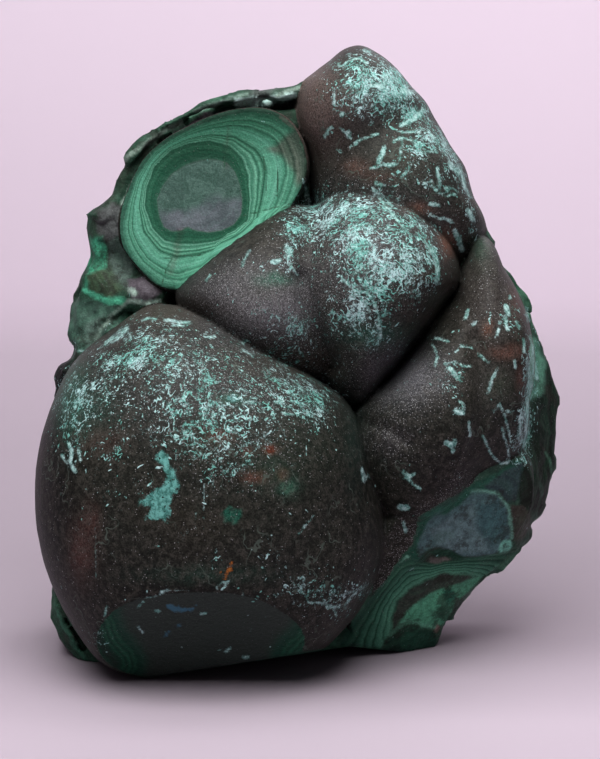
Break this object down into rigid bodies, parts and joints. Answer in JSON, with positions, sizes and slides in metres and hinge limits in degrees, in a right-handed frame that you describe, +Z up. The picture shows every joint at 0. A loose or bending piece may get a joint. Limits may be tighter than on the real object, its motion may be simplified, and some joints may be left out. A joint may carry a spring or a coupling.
{
  "type": "malachite specimen",
  "caption": "Hand-sized lump of botryoidal malachite with smooth dark domes, one sawn flat to show its green growth rings, on rough broken rock; stands on a flat underside",
  "frame": {"origin": "On the floor, below the middle of the bounding box", "axes": "+Z up; -Y is the way the domed growth face looks; +X to the right seen from the front"},
  "size_m": [0.1272, 0.0858, 0.1468],
  "materials": {
    "malachite": "dark satin skin with pale turquoise scuffs; sawn and broken faces show banded green"
  },
  "bodies": {
    "root": {"malachite_specimen": "malachite"}
  },
  "joints": []
}
